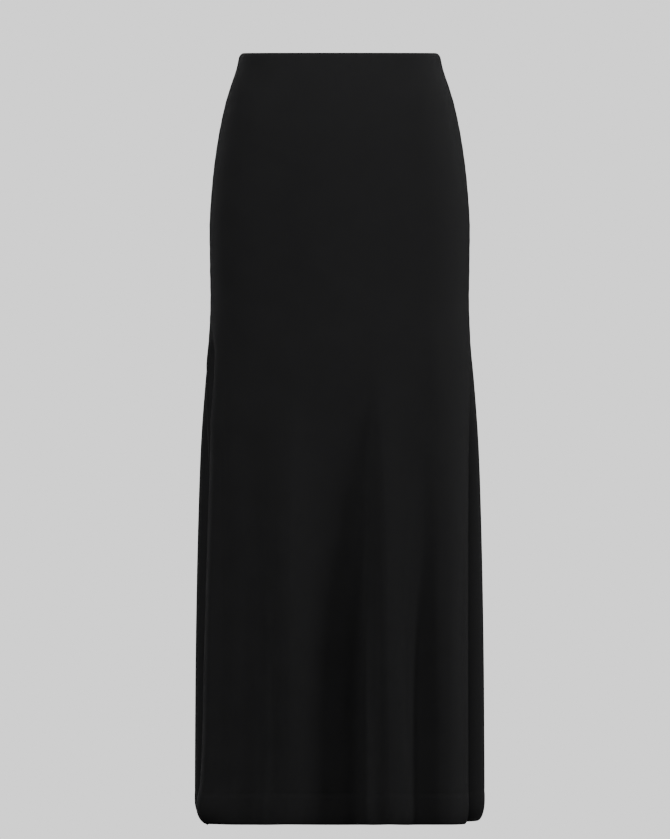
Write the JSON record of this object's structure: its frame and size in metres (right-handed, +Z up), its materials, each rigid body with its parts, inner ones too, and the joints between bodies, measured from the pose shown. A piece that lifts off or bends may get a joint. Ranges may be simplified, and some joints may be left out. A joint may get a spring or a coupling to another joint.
{
  "type": "midi skirt",
  "caption": "Long pull-on jersey skirt, filled out as worn: smooth over the hip, falling in soft flutes to a turned-up hem.",
  "frame": {"origin": "middle of the waist, level with the top edge at the side seams, where the wearer's waist holds the skirt", "axes": "+Z up, out of the waist; the front faces -Y; +X to the right of the front view, the wearer's left"},
  "size_m": [0.358, 0.2548, 0.9478],
  "materials": {
    "jersey": "matt black viscose jersey with a faint soft sheen",
    "waistband_jersey": "black elastic in a strip of the same jersey"
  },
  "bodies": {
    "root": {"front_panel": "jersey", "back_panel": "jersey", "waistband": "waistband_jersey"}
  },
  "joints": []
}
